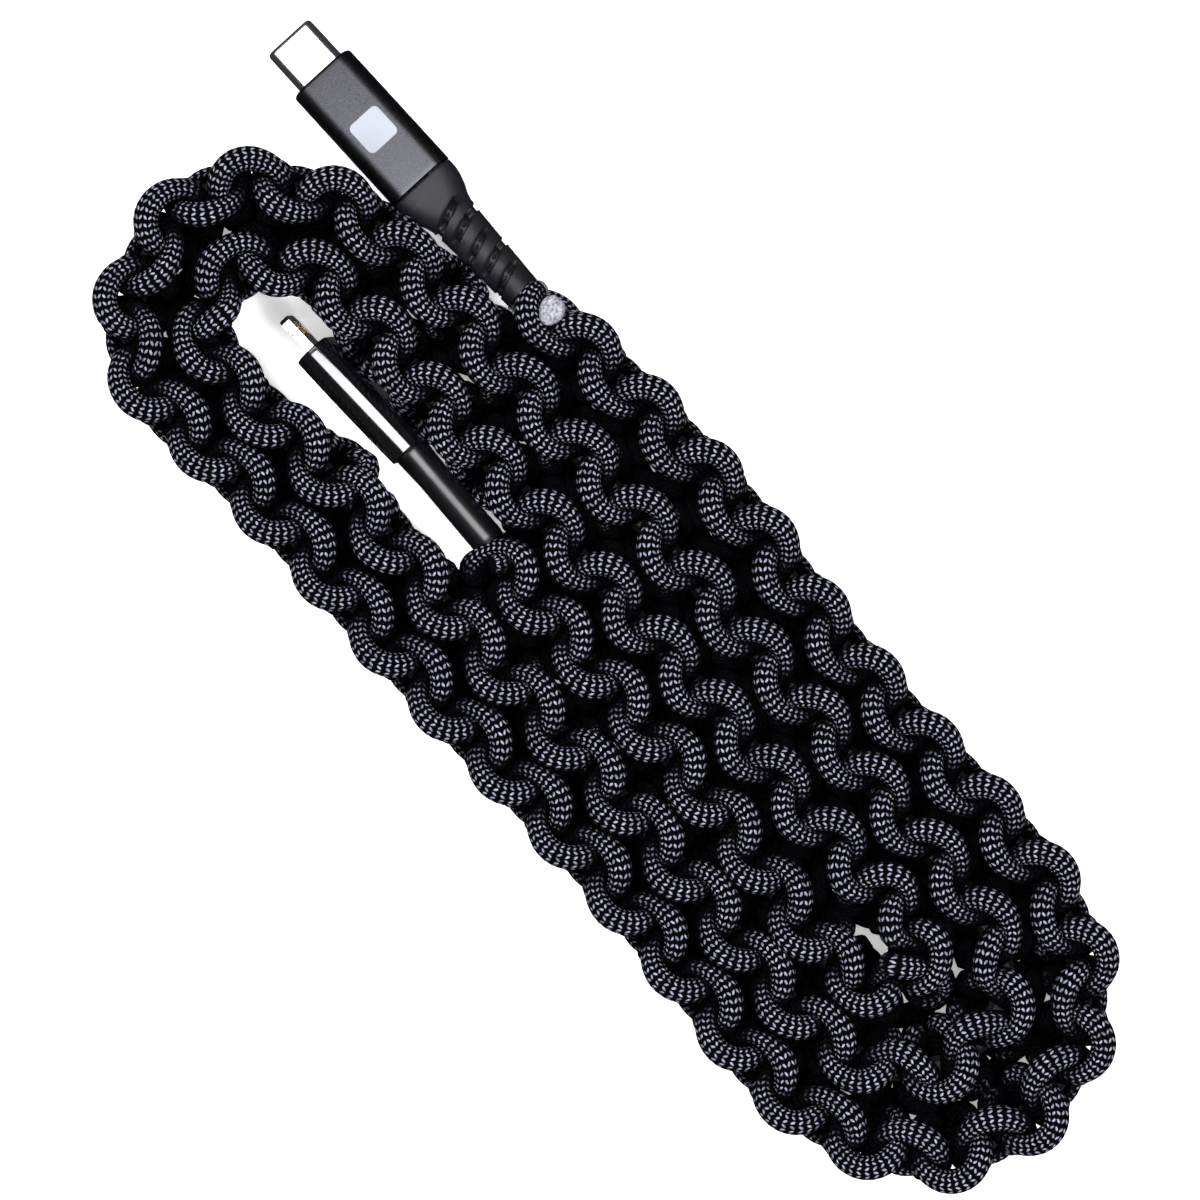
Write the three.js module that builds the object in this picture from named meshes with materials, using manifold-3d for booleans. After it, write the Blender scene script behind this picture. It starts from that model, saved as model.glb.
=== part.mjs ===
// Charging cable wrapped in a paracord cobra weave, with a type-C plug on one end and a slim
// eight-contact plug on the other. The woven length lies on a table in a flat oblong spiral.
//
// Frame: millimetres, +Z up, the table is z = 0, the origin is the middle of the footprint. +X is the
// way both plugs point. Each plug is drawn in a frame of its own: x = 0 where it leaves the weave, +x
// towards its tip, y across its wide side, z through its thin side.
import * as THREE from "three";
import { mergeVertices } from "three/addons/utils/BufferGeometryUtils.js";
import Module from "manifold-3d";

const wasm = await Module();
wasm.setup();

// ---- Driving dimensions ----
const GAP = 0.3;

const WEAVE_HEIGHT = 16.0;
const WEAVE_WIDTH = 8.3;
const WEAVE_HOLE_RADIUS = 2.2;
const JACKET_RADIUS = 1.75;
const JACKET_WALL = 0.5;
const CORE_RADIUS = 0.95;
const CABLE_Z = WEAVE_HEIGHT / 2;
const STEPS_PER_POINT = 2;

const CORD_END_RADIUS = 2.1;
const CORD_END_DEPTH = 3.2;
const CORD_END_PLACE = [44.3, -27.2];

const TYPE_C_NECK = [49.3, -25.8];
const TYPE_C_YAW = 0.4;
const TYPE_C_PITCH = 5.8;
const TYPE_C_FLEX_END = 19.4;
const TYPE_C_COLLAR_END = 23.9;
const TYPE_C_HOUSING_END = 47.8;
const TYPE_C_TIP = 54.8;

const SLIM_NECK = [24.4, 4.3];
const SLIM_NECK_YAW = -1.3;
const SLIM_PLUG_START = [24.5, 3.4];
const SLIM_PLUG_YAW = 1.5;
const SLIM_PITCH = 2.9;
const SLIM_ROLL = 82;
const SLIM_FLEX_END = 16.0;
const SLIM_COLLAR_END = 18.3;
const SLIM_HOUSING_END = 40.6;
const SLIM_TIP = 47.3;

const PLUG_WIDTH = 11.6;
const PLUG_THICKNESS = 6.0;
const PLUG_WALL = 0.8;
const MARK_SIZE = 5.8;

// The middle line of the woven length in the plane of the table, from the type-C neck to the slim neck:
// three turns of a flat spiral, inwards. The points stand closer together in the bends.
const ROUTE = [
  // outermost run, away from the plugs
  [49.1, -26.3], [44.5, -26.3], [23.8, -27.6], [1.5, -27.8], [-19.7, -25.9], [-40.2, -24.9], [-60.0, -25.3],
  // outer turn at the folded end
  [-76.3, -24.2], [-88.2, -19.8], [-96.7, -10.4], [-99.6, 2.3], [-95.4, 15.2], [-84.7, 23.6], [-69.7, 27.4],
  // back along the other outside edge
  [-51.7, 26.7], [-32.6, 25.8], [-12.8, 25.7], [6.4, 26.2], [25.8, 26.3], [45.5, 26.1],
  // outer loop at the plug end
  [62.0, 26.7], [75.9, 27.7], [86.6, 24.0], [93.4, 13.0], [94.4, 0.7], [88.0, -7.8], [78.3, -13.6],
  // second run away from the plugs
  [66.4, -15.6], [49.2, -15.9], [27.4, -15.6], [5.7, -15.7], [-14.3, -15.5], [-34.4, -15.2], [-52.8, -14.7],
  // middle turn
  [-69.4, -14.3], [-80.9, -10.5], [-86.0, -0.6], [-83.0, 10.4], [-72.8, 16.4], [-57.9, 17.7],
  // back on the inside of the far edge
  [-39.4, 16.6], [-19.4, 16.2], [0.7, 16.5], [20.0, 16.5], [39.1, 16.0],
  // inner loop at the plug end, round the slim plug's tip
  [56.4, 16.7], [72.0, 17.7], [81.2, 13.4], [81.9, 3.1], [74.2, -3.4], [64.7, -5.0],
  // third run away from the plugs
  [46.2, -4.4], [25.5, -4.4], [5.6, -4.6], [-14.4, -4.6], [-33.4, -4.2], [-52.2, -4.6],
  // tight inner turn
  [-67.0, -4.4], [-71.0, 2.2], [-65.1, 7.8], [-53.4, 8.1],
  // last run, up to the slim plug
  [-38.4, 6.4], [-18.9, 5.6], [1.7, 5.4], [18.5, 5.3], [23.5, 4.9],
];

// ---- Materials ----
const material = (color, roughness, metalness) =>
  new THREE.MeshStandardMaterial({ color, roughness, metalness });

const materials = {
  paracord: material(0x1b1b22, 0.9, 0),
  meltedCord: material(0xd6d6da, 0.8, 0),
  jacket: material(0x16161a, 0.7, 0),
  copper: material(0xb8733a, 0.35, 1),
  steel: material(0xd9dbe0, 0.2, 1),
  gold: material(0xd8b25a, 0.3, 1),
  anodised: material(0x2b2b31, 0.45, 0.6),
  blackGloss: material(0x0c0c0f, 0.15, 0.3),
  relief: material(0x222227, 0.6, 0),
  plastic: material(0x111114, 0.5, 0),
  mould: material(0xe4e4dc, 0.6, 0),
  board: material(0x1c4a2c, 0.5, 0),
  mark: material(0xf0f1f4, 0.5, 0),
  wirePower: material(0xb02020, 0.5, 0),
  wireGround: material(0x202020, 0.5, 0),
  wireDataPlus: material(0x2f8a3c, 0.5, 0),
  wireDataMinus: material(0xe8e8e8, 0.5, 0),
};

// ---- Shape helpers ----
const degrees = THREE.MathUtils.degToRad;
const ALONG_X = new THREE.Matrix4().makeBasis(
  new THREE.Vector3(0, 1, 0),
  new THREE.Vector3(0, 0, 1),
  new THREE.Vector3(1, 0, 0),
);

function node(name, geometry, look) {
  const mesh = new THREE.Mesh(geometry, look);
  mesh.name = name;
  return mesh;
}

function roundedRect(width, height, radius, ShapeClass = THREE.Shape) {
  const w = width / 2 - radius;
  const h = height / 2 - radius;
  const outline = new ShapeClass();
  outline.absarc(w, h, radius, 0, Math.PI / 2);
  outline.absarc(-w, h, radius, Math.PI / 2, Math.PI);
  outline.absarc(-w, -h, radius, Math.PI, 1.5 * Math.PI);
  outline.absarc(w, -h, radius, 1.5 * Math.PI, 2 * Math.PI);
  outline.closePath();
  return outline;
}

function polygon(points, ShapeClass = THREE.Shape) {
  return new ShapeClass(points.map(([x, y]) => new THREE.Vector2(x, y)));
}

function regularPolygon(sides, radius, ShapeClass = THREE.Shape) {
  const turn = (2 * Math.PI) / sides;
  const corner = (i) => [radius * Math.cos((i + 0.5) * turn), radius * Math.sin((i + 0.5) * turn)];
  return polygon(Array.from({ length: sides }, (_, i) => corner(i)), ShapeClass);
}

// A shape drawn in y and z, extruded along x between two stations.
function prism(shape, from, to, curveSegments = 4) {
  const geometry = new THREE.ExtrudeGeometry(shape, { depth: to - from, bevelEnabled: false, curveSegments });
  return geometry.applyMatrix4(ALONG_X).translate(from, 0, 0);
}

// A shape drawn in x and y, as a plate from one height to another.
function plate(shape, low, high) {
  const geometry = new THREE.ExtrudeGeometry(shape, { depth: high - low, bevelEnabled: false, curveSegments: 4 });
  return geometry.translate(0, 0, low);
}

function block(from, to, width, height, y = 0, z = 0) {
  return new THREE.BoxGeometry(to - from, width, height).translate((from + to) / 2, y, z);
}

// A profile of [station, radius] pairs turned about the x axis; flatness scales it in z.
function turned(profile, segments = 16, flatness = 1) {
  const points = profile.map(([x, r]) => new THREE.Vector2(r, x));
  return new THREE.LatheGeometry(points, segments).rotateZ(-Math.PI / 2).scale(1, 1, flatness);
}

// A sleeve about the x axis: an outer profile with a straight bore.
function sleeve(outer, bore, segments = 16, flatness = 1) {
  const first = outer[0];
  const last = outer[outer.length - 1];
  const points = [[first[0], bore], ...outer, [last[0], bore], [first[0], bore]];
  return turned(points, segments, flatness);
}

function solidOf(geometry) {
  const bare = geometry.clone();
  bare.deleteAttribute("normal");
  bare.deleteAttribute("uv");
  const merged = mergeVertices(bare, 1e-4);
  return new wasm.Manifold(new wasm.Mesh({
    numProp: 3,
    vertProperties: new Float32Array(merged.attributes.position.array),
    triVerts: new Uint32Array(merged.index.array),
  }));
}

function geometryOf(solid) {
  const mesh = solid.getMesh();
  const geometry = new THREE.BufferGeometry();
  geometry.setAttribute("position", new THREE.BufferAttribute(mesh.vertProperties, 3));
  geometry.setIndex(new THREE.BufferAttribute(mesh.triVerts, 1));
  geometry.computeVertexNormals();
  return geometry;
}

const joined = (...geometries) => geometryOf(geometries.map(solidOf).reduce((a, b) => a.add(b)));
const cutFrom = (body, ...tools) => geometryOf(tools.map(solidOf).reduce((a, b) => a.subtract(b), solidOf(body)));

// ---- The woven length ----

// A curve whose steps follow its points, so that the steps are short where the points stand close.
class RouteCurve extends THREE.CatmullRomCurve3 {
  getUtoTmapping(u) {
    return u;
  }
}

function alongRoute(section) {
  const points = ROUTE.map(([x, y]) => new THREE.Vector3(x, y, CABLE_Z));
  const extrudePath = new RouteCurve(points, false, "centripetal");
  const steps = (ROUTE.length - 1) * STEPS_PER_POINT;
  return new THREE.ExtrudeGeometry(section, { steps, extrudePath, curveSegments: 4 });
}

// The weave's outer section: flat below and above, twelve-sided. Its first coordinate is height.
function weaveSection() {
  const h = WEAVE_HEIGHT / 2;
  const w = WEAVE_WIDTH / 2;
  const quarter = [[h, 0.45 * w], [0.86 * h, 0.82 * w], [0.5 * h, w]];
  const mirrored = quarter.map(([x, y]) => [-x, y]).reverse();
  const half = [...quarter, ...mirrored];
  const section = polygon([...half, ...half.map(([x, y]) => [x, -y]).reverse()]);
  section.holes.push(regularPolygon(6, WEAVE_HOLE_RADIUS, THREE.Path));
  return section;
}

function cordEnd(name, side) {
  const top = side * CABLE_Z;
  const bottom = top - side * CORD_END_DEPTH;
  const stub = new THREE.CylinderGeometry(CORD_END_RADIUS, CORD_END_RADIUS, CORD_END_DEPTH, 12);
  stub.rotateX(Math.PI / 2).translate(...CORD_END_PLACE, CABLE_Z + (top + bottom) / 2);
  return node(name, stub, materials.meltedCord);
}

function cordEndPocket(side) {
  const depth = 2 * (CORD_END_DEPTH + GAP);
  const pocket = new THREE.CylinderGeometry(CORD_END_RADIUS + GAP, CORD_END_RADIUS + GAP, depth, 12);
  return pocket.rotateX(Math.PI / 2).translate(...CORD_END_PLACE, CABLE_Z + side * CABLE_Z);
}

function wovenCable() {
  const group = new THREE.Group();
  const weave = cutFrom(alongRoute(weaveSection()), cordEndPocket(1), cordEndPocket(-1));
  const jacket = regularPolygon(6, JACKET_RADIUS);
  jacket.holes.push(regularPolygon(6, JACKET_RADIUS - JACKET_WALL, THREE.Path));
  group.add(
    node("paracord_weave", weave, materials.paracord),
    cordEnd("melted_cord_end_upper", 1),
    cordEnd("melted_cord_end_lower", -1),
    node("cable_jacket", alongRoute(jacket), materials.jacket),
    node("cable_core", alongRoute(regularPolygon(4, CORE_RADIUS)), materials.copper),
  );
  return group;
}

// ---- Pieces that both plugs have ----

function wires(prefix, from, to, boardEdge) {
  const looks = {
    power: materials.wirePower,
    data_plus: materials.wireDataPlus,
    data_minus: materials.wireDataMinus,
    ground: materials.wireGround,
  };
  return Object.entries(looks).map(([use, look], i) => {
    const spread = i - 1.5;
    const path = new THREE.CatmullRomCurve3([
      new THREE.Vector3(from, spread * 0.6, 0),
      new THREE.Vector3((from + to) / 2, spread * 1.1, 0.4),
      new THREE.Vector3(to, spread * boardEdge, 0.9),
    ]);
    const geometry = new THREE.ExtrudeGeometry(regularPolygon(6, 0.25), { steps: 6, extrudePath: path });
    return node(`${prefix}_wire_${use}`, geometry, look);
  });
}

// A comb of contacts: equal fingers on one carrier strip, drawn in x and y.
function comb(count, pitch, fingerWidth, strip, from, to) {
  const half = ((count - 1) * pitch) / 2;
  const edge = half + fingerWidth / 2 + 0.05;
  const points = [[from, edge], [from, -edge], [from + strip, -edge]];
  for (let i = 0; i < count; i += 1) {
    const y = i * pitch - half;
    points.push([from + strip, y - fingerWidth / 2], [to, y - fingerWidth / 2]);
    points.push([to, y + fingerWidth / 2], [from + strip, y + fingerWidth / 2]);
  }
  points.push([from + strip, edge]);
  return polygon(points);
}

const cable = (from, to) => turned([[from, 0], [from, JACKET_RADIUS], [to, JACKET_RADIUS], [to, 0]], 10);

function crimp(from, to) {
  return sleeve([[from, 2.35], [from + 0.6, 2.65], [to, 2.65]], JACKET_RADIUS + GAP, 12);
}

// The housing: an outer block, hollowed from behind, with a mouth through its front wall.
function housing(from, to, cornerRadius, mouth) {
  const frontWall = to - 1.2;
  const outer = roundedRect(PLUG_WIDTH, PLUG_THICKNESS, cornerRadius);
  const inner = roundedRect(PLUG_WIDTH - 2 * PLUG_WALL, PLUG_THICKNESS - 2 * PLUG_WALL, cornerRadius - PLUG_WALL);
  return cutFrom(prism(outer, from, to), prism(inner, from - 1, frontWall), prism(mouth, from - 1, to + 1));
}

// The moulded block behind the board, with a passage for the cable and its crimp.
function innerMould(from, to) {
  const wall = PLUG_WALL + GAP;
  const shape = roundedRect(PLUG_WIDTH - 2 * wall, PLUG_THICKNESS - 2 * wall, 1.2);
  const passage = new THREE.Path();
  passage.absellipse(0, 0, 3.4, 1.7, 0, 2 * Math.PI);
  shape.holes.push(passage);
  return prism(shape, from, to);
}

// ---- Type-C plug ----

function typeCFlex() {
  const profile = [[GAP, 2.7], [8.5, 3.05], [15.5, 3.5], [16.6, 3.8], [TYPE_C_FLEX_END, 4.8]];
  const outer = turned([[GAP, 0], ...profile, [TYPE_C_FLEX_END, 0]], 18);
  const place = outer.attributes.position;
  for (let i = 0; i < place.count; i += 1) {
    const t = (place.getX(i) - GAP) / (TYPE_C_FLEX_END - GAP);
    place.setZ(i, place.getZ(i) * THREE.MathUtils.lerp(0.95, 0.57, t));
  }
  const slots = [3.8, 7.1, 10.5, 14.1, 17.3].map((station, i) => {
    const side = i % 2 ? -1 : 1;
    return new THREE.BoxGeometry(1.2, 8, 12).rotateZ(degrees(20)).translate(station, side * 2.4, 0);
  });
  const innerSleeve = sleeve([[1.2, 2.3], [TYPE_C_FLEX_END - 0.6, 2.3]], JACKET_RADIUS + GAP, 18);
  const bore = turned([[-1, 0], [-1, JACKET_RADIUS + GAP], [30, JACKET_RADIUS + GAP], [30, 0]], 18);
  const slotted = solidOf(cutFrom(outer, bore, ...slots));
  return geometryOf(slotted.add(solidOf(innerSleeve)));
}

function typeCCollar() {
  const from = TYPE_C_FLEX_END + GAP;
  const step = from + 0.9;
  const to = TYPE_C_COLLAR_END;
  const rear = prism(roundedRect(10.2, 5.5, 2.4), from, step + 0.1, 5);
  const front = prism(roundedRect(11.2, 5.8, 2.5), step, to, 5);
  const radius = JACKET_RADIUS + GAP;
  return cutFrom(joined(rear, front), turned([[from - 1, 0], [from - 1, radius], [to + 1, radius], [to + 1, 0]], 18));
}

function typeCPlug() {
  const front = TYPE_C_HOUSING_END;
  const rear = TYPE_C_COLLAR_END + GAP;
  const tip = TYPE_C_TIP;
  const boardFrom = rear + 8.6;
  const shellFrom = front - 6.4;

  const shellShape = roundedRect(8.34, 2.56, 1.28);
  shellShape.holes.push(roundedRect(7.7, 1.92, 0.96, THREE.Path));
  const insulatorShape = roundedRect(7.1, 1.32, 0.3);
  insulatorShape.holes.push(roundedRect(6.5, 0.94, 0.2, THREE.Path));
  const latch = polygon([
    [shellFrom + 0.6, 2.9], [shellFrom + 0.6, -2.9], [tip - 1.6, -2.9], [tip - 1.6, -2.5],
    [shellFrom + 1.8, -2.5], [shellFrom + 1.8, 2.5], [tip - 1.6, 2.5], [tip - 1.6, 2.9],
  ]);
  const fingers = comb(12, 0.4, 0.18, 1.0, shellFrom + 2.2, tip - 1.4);
  const board = block(boardFrom, shellFrom - GAP, 8.6, 0.7, 0, -0.2);
  const mouth = roundedRect(8.34 + 2 * GAP, 2.56 + 2 * GAP, 1.4);
  const top = PLUG_THICKNESS / 2;
  const markMiddle = (front + rear) / 2 - 0.9;
  const markPanel = roundedRect(MARK_SIZE, MARK_SIZE, 0.9);
  const markPoints = markPanel.getPoints(4).map((p) => new THREE.Vector2(p.x + markMiddle, p.y));

  const group = new THREE.Group();
  group.add(
    node("type_c_shell", prism(shellShape, shellFrom, tip, 5), materials.steel),
    node("type_c_insulator", prism(insulatorShape, tip - 5.6, tip - 0.4), materials.plastic),
    node("type_c_contacts_upper", plate(fingers, 0.2, 0.34), materials.gold),
    node("type_c_contacts_lower", plate(fingers, -0.34, -0.2), materials.gold),
    node("type_c_latch_plate", plate(latch, -0.08, 0.08), materials.steel),
    node("type_c_board", board, materials.board),
    node("type_c_power_chip", block(boardFrom + 3.2, boardFrom + 6.2, 3, 0.9, 0, 0.2 + 0.65), materials.plastic),
    node("type_c_inner_mould", innerMould(rear + 0.4, boardFrom - GAP), materials.mould),
    node("type_c_crimp", crimp(rear + 0.6, rear + 4.6).scale(1, 1, 0.62), materials.copper),
    node("type_c_housing", housing(rear, front, 2.6, mouth), materials.anodised),
    node("type_c_mark_panel", plate(new THREE.Shape(markPoints), top + 0.02, top + 0.14), materials.mark),
    node("type_c_relief_collar", typeCCollar(), materials.relief),
    node("type_c_cable_end", cable(TYPE_C_FLEX_END + GAP, rear + 0.3), materials.jacket),
    ...wires("type_c", rear + 4.9, boardFrom + 1.5, 0.7),
  );
  return group;
}

// ---- Slim plug ----

function slimTongue() {
  const from = SLIM_HOUSING_END - 5.0;
  const side = 6.7 / 2;
  const notch = SLIM_TIP - 2.6;
  const frame = new THREE.Shape();
  frame.moveTo(from, -side);
  frame.lineTo(notch - 0.5, -side);
  frame.lineTo(notch - 0.2, -side + 0.35);
  frame.lineTo(notch + 0.2, -side + 0.35);
  frame.lineTo(notch + 0.5, -side);
  frame.absarc(SLIM_TIP - 0.9, -side + 0.9, 0.9, -Math.PI / 2, 0);
  frame.absarc(SLIM_TIP - 0.9, side - 0.9, 0.9, 0, Math.PI / 2);
  frame.lineTo(notch + 0.5, side);
  frame.lineTo(notch + 0.2, side - 0.35);
  frame.lineTo(notch - 0.2, side - 0.35);
  frame.lineTo(notch - 0.5, side);
  frame.lineTo(from, side);
  frame.closePath();
  const window = roundedRect(3.4, 4.9, 0.6, THREE.Path);
  const points = window.getPoints(4).map((p) => new THREE.Vector2(p.x + SLIM_TIP - 2.9, p.y));
  frame.holes.push(new THREE.Path(points));
  return plate(frame, -0.75, 0.75);
}

function slimPlug() {
  const front = SLIM_HOUSING_END;
  const rear = SLIM_COLLAR_END + GAP;
  const tip = SLIM_TIP;
  const boardTo = front - 5.0 - GAP;
  const boardFrom = rear + 7.6;
  const windowMiddle = tip - 2.9;
  const insert = () => block(windowMiddle - 1.4, windowMiddle + 1.4, 4.3, 0.3);
  const pads = comb(8, 0.5, 0.3, 0.4, windowMiddle - 1.3, windowMiddle + 1.3);
  const mouth = roundedRect(6.7 + 2 * GAP, 1.5 + 2 * GAP, 0.8);
  const can = roundedRect(8.4, 3.4, 0.6);
  can.holes.push(roundedRect(7.8, 2.8, 0.4, THREE.Path));

  const group = new THREE.Group();
  group.add(
    node("slim_tongue", slimTongue(), materials.steel),
    node("slim_contact_carrier", insert(), materials.plastic),
    node("slim_contacts_upper", plate(pads, 0.2, 0.72), materials.gold),
    node("slim_contacts_lower", plate(pads, -0.72, -0.2), materials.gold),
    node("slim_board", block(boardFrom, boardTo, 6.6, 0.7), materials.board),
    node("slim_identity_chip", block(boardFrom + 2.4, boardFrom + 4.6, 2.2, 0.6, 0, 0.7), materials.plastic),
    node("slim_shield_can", prism(can, boardFrom + 0.8, boardTo), materials.steel),
    node("slim_inner_mould", innerMould(rear + 0.4, boardFrom - GAP), materials.mould),
    node("slim_crimp", crimp(rear + 0.6, rear + 4.2).scale(1, 1, 0.62), materials.copper),
    node("slim_housing", housing(rear, front, 2.9, mouth), materials.blackGloss),
    node("slim_relief_collar", sleeve([[SLIM_FLEX_END + GAP, 2.75], [SLIM_COLLAR_END, 2.8]],
      JACKET_RADIUS + GAP), materials.relief),
    node("slim_cable_end", cable(SLIM_FLEX_END + GAP, rear + 0.3), materials.jacket),
    ...wires("slim", rear + 4.5, boardFrom + 1.5, 0.6),
  );
  return group;
}

function slimFlex() {
  return sleeve([[GAP, 2.45], [1.0, 2.6], [SLIM_FLEX_END, 2.65]], JACKET_RADIUS + GAP, 16);
}

// ---- Assembly ----

function placed(group, [x, y], roll, pitch, yaw) {
  group.position.set(x, y, CABLE_Z);
  group.rotation.set(degrees(roll), degrees(pitch), degrees(yaw), "ZYX");
  return group;
}

const typeC = typeCPlug().add(
  node("type_c_relief_flex", typeCFlex(), materials.relief),
  node("type_c_cable_in_relief", cable(GAP, TYPE_C_FLEX_END), materials.jacket),
);
const slimNeck = new THREE.Group().add(
  node("slim_relief_flex", slimFlex(), materials.relief),
  node("slim_cable_in_relief", cable(GAP, SLIM_FLEX_END), materials.jacket),
);

const chargingCable = new THREE.Group();
chargingCable.add(
  wovenCable(),
  placed(typeC, TYPE_C_NECK, 0, TYPE_C_PITCH, TYPE_C_YAW),
  placed(slimNeck, SLIM_NECK, SLIM_ROLL, SLIM_PITCH, SLIM_NECK_YAW),
  placed(slimPlug(), SLIM_PLUG_START, SLIM_ROLL, SLIM_PITCH, SLIM_PLUG_YAW),
);

export default chargingCable;
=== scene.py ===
import math

import bmesh
import bpy
import numpy as np
from mathutils import Matrix, Vector, kdtree


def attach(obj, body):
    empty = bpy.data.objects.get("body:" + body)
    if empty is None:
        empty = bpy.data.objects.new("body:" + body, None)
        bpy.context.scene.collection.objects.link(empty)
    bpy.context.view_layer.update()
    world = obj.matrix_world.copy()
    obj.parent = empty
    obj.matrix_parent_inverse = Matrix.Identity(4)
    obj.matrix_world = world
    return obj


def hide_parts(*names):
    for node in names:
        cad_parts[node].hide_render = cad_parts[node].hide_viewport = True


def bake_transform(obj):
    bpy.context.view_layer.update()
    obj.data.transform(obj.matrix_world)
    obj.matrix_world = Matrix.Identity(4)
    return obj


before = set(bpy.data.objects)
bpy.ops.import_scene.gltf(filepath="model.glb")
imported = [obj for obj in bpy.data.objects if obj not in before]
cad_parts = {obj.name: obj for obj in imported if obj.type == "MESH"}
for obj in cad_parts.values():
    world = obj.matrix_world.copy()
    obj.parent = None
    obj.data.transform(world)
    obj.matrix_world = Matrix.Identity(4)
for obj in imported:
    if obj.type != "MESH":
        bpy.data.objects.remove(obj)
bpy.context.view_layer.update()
MM = 0.001

# The cable's middle line on the table, in mm, from the type-C neck to the slim neck.
ROUTE = [
    (49.1, -26.3), (44.5, -26.3), (23.8, -27.6), (1.5, -27.8), (-19.7, -25.9), (-40.2, -24.9), (-60.0, -25.3),
    (-76.3, -24.2), (-88.2, -19.8), (-96.7, -10.4), (-99.6, 2.3), (-95.4, 15.2), (-84.7, 23.6), (-69.7, 27.4),
    (-51.7, 26.7), (-32.6, 25.8), (-12.8, 25.7), (6.4, 26.2), (25.8, 26.3), (45.5, 26.1),
    (62.0, 26.7), (75.9, 27.7), (86.6, 24.0), (93.4, 13.0), (94.4, 0.7), (88.0, -7.8), (78.3, -13.6),
    (66.4, -15.6), (49.2, -15.9), (27.4, -15.6), (5.7, -15.7), (-14.3, -15.5), (-34.4, -15.2), (-52.8, -14.7),
    (-69.4, -14.3), (-80.9, -10.5), (-86.0, -0.6), (-83.0, 10.4), (-72.8, 16.4), (-57.9, 17.7),
    (-39.4, 16.6), (-19.4, 16.2), (0.7, 16.5), (20.0, 16.5), (39.1, 16.0),
    (56.4, 16.7), (72.0, 17.7), (81.2, 13.4), (81.9, 3.1), (74.2, -3.4), (64.7, -5.0),
    (46.2, -4.4), (25.5, -4.4), (5.6, -4.6), (-14.4, -4.6), (-33.4, -4.2), (-52.2, -4.6),
    (-67.0, -4.4), (-71.0, 2.2), (-65.1, 7.8), (-53.4, 8.1),
    (-38.4, 6.4), (-18.9, 5.6), (1.7, 5.4), (18.5, 5.3), (23.5, 4.9),
]
CABLE_Z = 8.0

# The plugs' places and sizes, in mm and degrees, as in the CAD: x runs from the weave to the tip.
TYPE_C_NECK = (49.3, -25.8)
TYPE_C_YAW = 0.4
TYPE_C_PITCH = 5.8
TYPE_C_HOUSING_END = 47.8
SLOT_STATIONS = (3.8, 7.1, 10.5, 14.1, 17.3)
# the slots lean by this many degrees, reach this far past the middle, and go down to this radius
SLOT_LEAN = 20
SLOT_REACH = 2.2
SLOT_FLOOR = 2.2
SLOT_HALF_WIDTH = 0.52
SLOT_RIM = 0.07
SLOT_RIBS = 4.6
SLIM_NECK = (24.4, 4.3)
SLIM_NECK_YAW = -1.3
SLIM_PLUG_START = (24.5, 3.4)
SLIM_PLUG_YAW = 1.5
SLIM_PITCH = 2.9
SLIM_ROLL = 82
SLIM_HOUSING_END = 40.6
PLUG_WIDTH = 11.6
PLUG_THICKNESS = 6.0
PLUG_WALL = 0.8
# how far the housings' broad sides bow out, both together
CROWN = 0.22
BORE = 2.05

# The reliefs' outlines: x, half width, half height and squareness (2 is an ellipse).
TYPE_C_RELIEF = [
    (0.3, 3.1, 2.75, 2.0), (8.0, 3.45, 2.75, 2.0), (11.0, 3.6, 2.8, 2.05), (15.0, 3.8, 2.8, 2.1),
    (17.0, 4.0, 2.8, 2.2), (18.1, 4.3, 2.8, 2.3), (19.4, 4.95, 2.82, 2.4), (21.3, 5.55, 2.85, 2.7),
    (22.4, 5.7, 2.88, 3.0), (23.5, 5.74, 2.9, 3.2), (23.8, 5.7, 2.88, 3.2), (23.95, 5.55, 2.75, 3.2),
]
SLIM_RELIEF = [
    (-0.6, 2.55, 2.55, 2.0), (0.2, 2.72, 2.72, 2.0), (8.0, 2.66, 2.66, 2.0), (13.0, 2.6, 2.6, 2.0),
    (16.5, 2.76, 2.76, 2.0), (18.5, 2.86, 2.86, 2.0), (18.62, 2.78, 2.78, 2.0),
]

# Where the strands were cut and melted: the beads' place, half sizes and height off the cable's middle.
CORD_END = (44.3, -27.2)
BEAD = np.array([1.95, 2.45, 1.35])
BEAD_HEIGHT = 6.55
SINGED_FIBRES = 46

# The reliefs and the slim housing, which runs press against: rods from point to point with a radius, in mm.
RODS = [
    ((49.5, -25.8, 8.0), (64.5, -25.7, 6.6), 3.7),
    ((64.5, -25.7, 6.6), (72.0, -25.6, 5.9), 5.4),
    ((25.0, 4.2, 8.0), (42.0, 3.9, 7.1), 2.9),
    ((43.0, 4.2, 10.0), (65.0, 4.6, 9.0), 3.4),
    ((43.0, 3.6, 5.0), (65.0, 4.0, 4.0), 3.4),
]

# Each CAD node's material slot, by name or by how the name ends.
NODE_SLOTS = {
    "type_c_shell": "bright_steel", "slim_tongue": "bright_steel", "slim_shield_can": "bright_steel",
    "type_c_latch_plate": "bright_steel", "type_c_housing": "anodised_black", "slim_housing": "black_gloss",
    "type_c_mark_panel": "mark_white", "type_c_relief_flex": "relief", "type_c_relief_collar": "relief",
    "slim_relief_flex": "satin_relief", "slim_relief_collar": "satin_relief", "cable_core": "copper",
    "cable_jacket": "jacket", "paracord_weave": "jacket", "melted_cord_end_upper": "melted_cord",
    "melted_cord_end_lower": "melted_cord",
}
SLOT_ENDINGS = {
    "_crimp": "copper", "_contacts_upper": "gold", "_contacts_lower": "gold", "_board": "board",
    "_inner_mould": "mould", "_wire_power": "wire_red", "_wire_ground": "wire_black",
    "_wire_data_plus": "wire_green", "_wire_data_minus": "wire_white", "_cable_in_relief": "jacket",
    "_cable_end": "jacket",
}

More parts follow.
